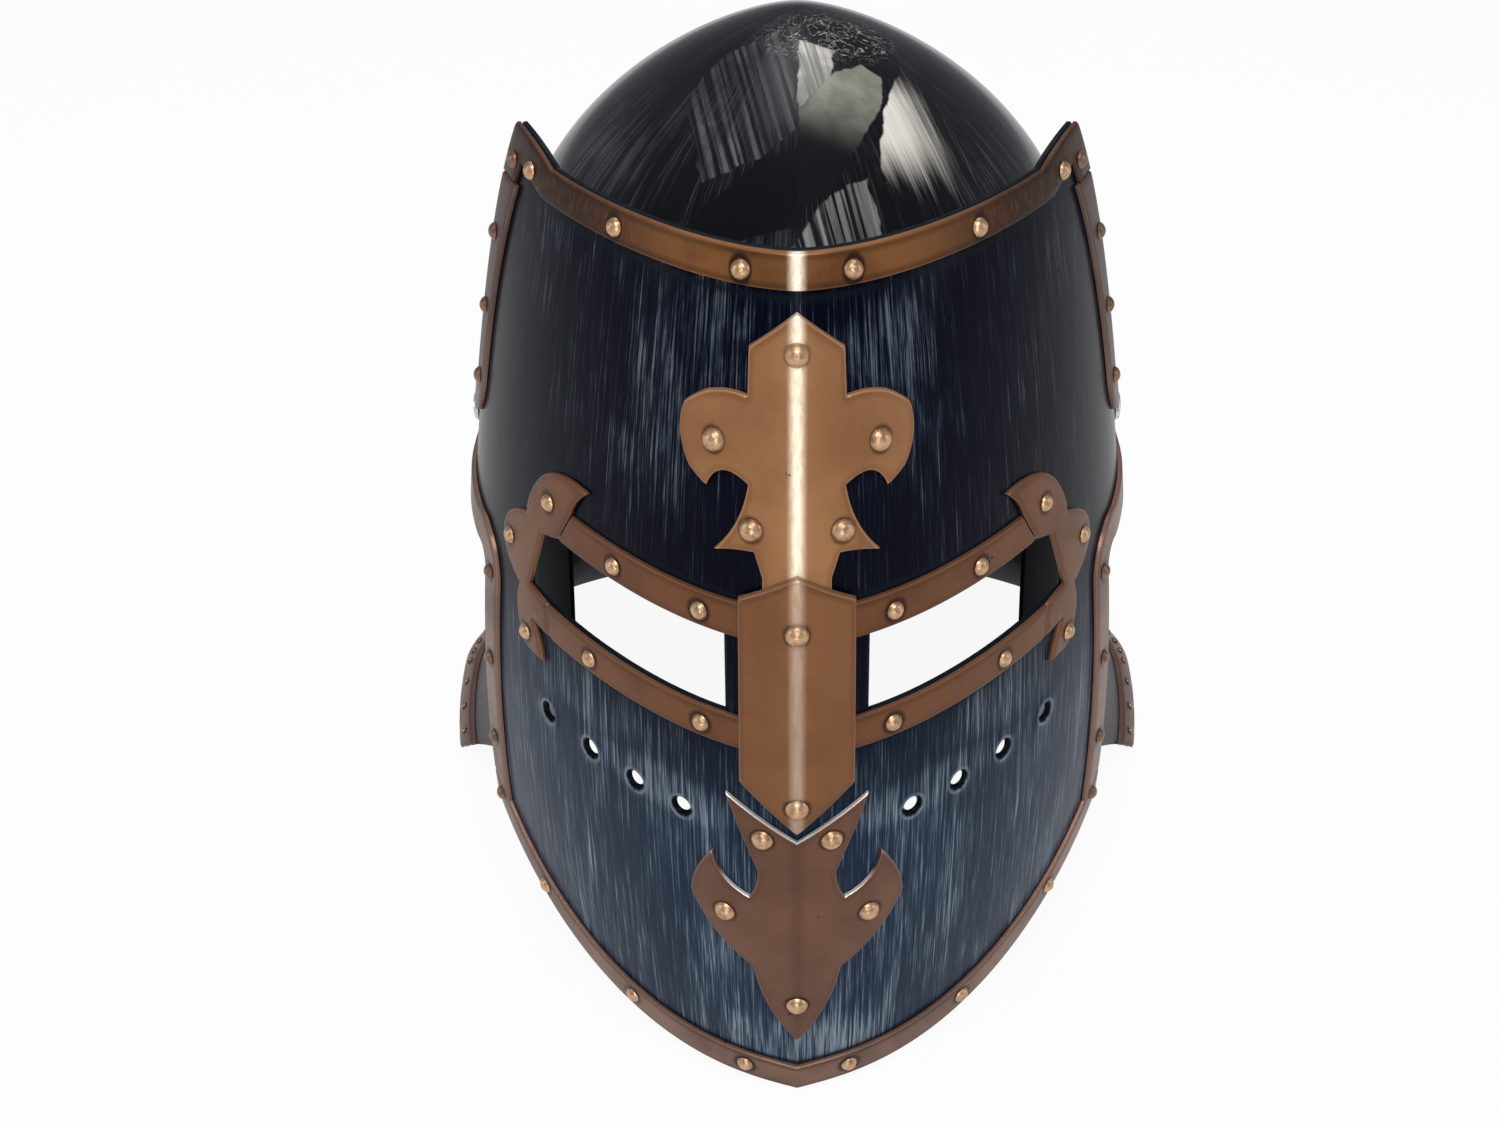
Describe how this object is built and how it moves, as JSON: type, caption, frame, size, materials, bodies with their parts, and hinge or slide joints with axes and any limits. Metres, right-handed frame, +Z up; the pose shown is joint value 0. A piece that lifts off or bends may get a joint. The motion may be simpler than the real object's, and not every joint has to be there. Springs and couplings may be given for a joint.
{
  "type": "visored great helm",
  "caption": "Steel great helm with an ogive skull, a pivoting keeled face plate with eye slots, riveted fleur-de-lis ornament and a flared neck guard.",
  "frame": {"origin": "middle of the helmet's width and depth, at the height of the surface it stands on", "axes": "+Z up through the crown, -Y out through the face, +X towards the viewer's right when the face is seen from the front"},
  "size_m": [0.2662, 0.3036, 0.29],
  "materials": {
    "blackened_steel": "glossy black over brushed steel, rubbed through to silver",
    "grey_steel": "worn grey steel",
    "copper": "copper, brown with rubbed bright edges",
    "brown_border": "dark brown",
    "bare_steel": "polished",
    "black_steel": "gloss black",
    "liner_leather": "plain tanned leather"
  },
  "bodies": {
    "skull": {"skull_shell": "blackened_steel", "neck_guard": "grey_steel", "neck_border": "brown_border", "border_studs": "copper", "neck_rivets": "grey_steel", "headband": "liner_leather", "crown_liner": "liner_leather", "liner_rivets": "black_steel", "left_pivot_screw": "bare_steel", "right_pivot_screw": "bare_steel", "left_pivot_nut": "bare_steel", "right_pivot_nut": "bare_steel", "left_outer_washer": "black_steel", "right_outer_washer": "black_steel", "left_spacer": "liner_leather", "right_spacer": "liner_leather"},
    "visor": {"face_plate": "blackened_steel", "top_trim": "copper", "left_side_trim": "copper", "right_side_trim": "copper", "chin_trim": "copper", "brow_fleur": "copper", "nasal_guard": "copper", "chin_fleur": "copper", "left_upper_band": "copper", "right_upper_band": "copper", "left_lower_band": "copper", "right_lower_band": "copper", "left_eye_fleur": "copper", "right_eye_fleur": "copper", "top_trim_rivets": "copper", "left_side_rivets": "copper", "right_side_rivets": "copper", "chin_trim_rivets": "copper", "brow_fleur_rivets": "copper", "nasal_rivets": "copper", "chin_fleur_rivets": "copper", "left_eye_rivets": "copper", "right_eye_rivets": "copper"}
  },
  "joints": [
    {"name": "visor_pivot", "type": "hinge", "parent": "skull", "child": "visor", "pos_m": [0, 0.00123, 0.162], "axis": [-1, 0, 0], "range_deg": [0, 55]}
  ]
}
